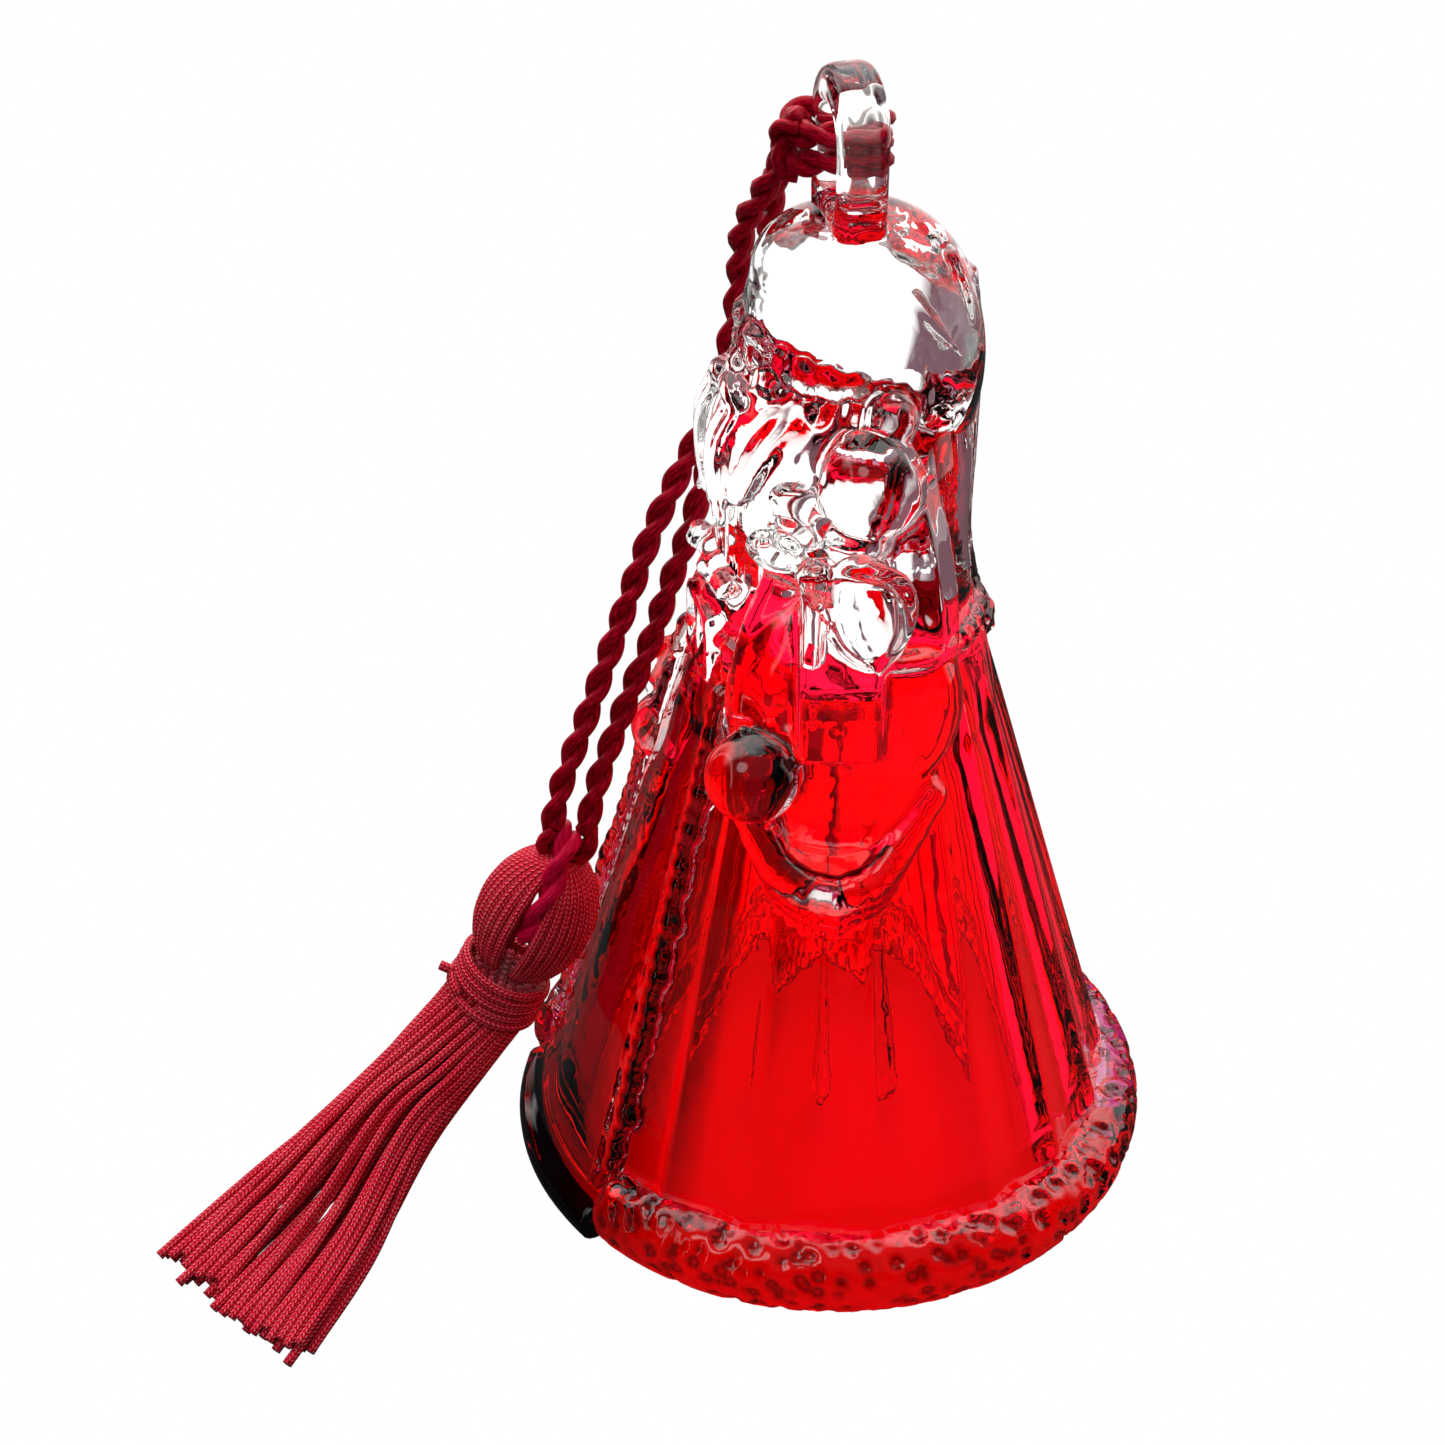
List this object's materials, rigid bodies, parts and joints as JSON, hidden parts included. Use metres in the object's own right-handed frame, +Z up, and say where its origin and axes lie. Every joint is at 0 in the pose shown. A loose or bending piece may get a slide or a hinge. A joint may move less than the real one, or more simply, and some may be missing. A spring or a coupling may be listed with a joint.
{
  "type": "figural glass bell ornament",
  "caption": "Pressed glass table bell shaped as a bearded man in a long fluted coat, ruby inside, with a chain-hung glass clapper and a tasselled cord on its crown loop.",
  "frame": {"origin": "centre of the rim, on the surface the bell stands on", "axes": "+Z up through the crown loop, the figure faces -Y and its left side is +X"},
  "size_m": [0.066, 0.1043, 0.12],
  "materials": {
    "crystal": "fire-polished",
    "ruby": "transparent stain",
    "wire": "bright drawn wire",
    "plug_metal": "plated",
    "cord": "twisted satin rayon",
    "tassel": "chainette braid"
  },
  "bodies": {
    "bell": {"bell_casting": "crystal", "ruby_lining": "ruby", "clapper_plug": "plug_metal", "plug_eye": "wire", "crown_hitch": "cord", "cord_leg_outer": "cord", "cord_leg_inner": "cord", "tassel_hitch": "cord", "tassel_loop": "cord", "tassel_head": "tassel", "tassel_binding": "tassel", "tassel_skirt": "tassel"},
    "link": {"upper_link": "wire"},
    "hanger": {"hanger_wire": "wire"},
    "ring": {"drop_ring": "wire"},
    "drop": {"clapper_drop": "crystal"}
  },
  "joints": [
    {"name": "link_swing", "type": "hinge", "parent": "bell", "child": "link", "pos_m": [0, 0, 0.0577], "axis": [1, 0, 0], "range_deg": [-12, 12]},
    {"name": "hanger_swing", "type": "hinge", "parent": "link", "child": "hanger", "pos_m": [0, 0, 0.056], "axis": [0, 1, 0], "range_deg": [-12, 12]},
    {"name": "ring_swing", "type": "hinge", "parent": "hanger", "child": "ring", "pos_m": [0, 0, 0.0289], "axis": [1, 0, 0], "range_deg": [-10, 10]},
    {"name": "drop_swing", "type": "hinge", "parent": "ring", "child": "drop", "pos_m": [0, 0, 0.0252], "axis": [0, 1, 0], "range_deg": [-10, 10]}
  ]
}
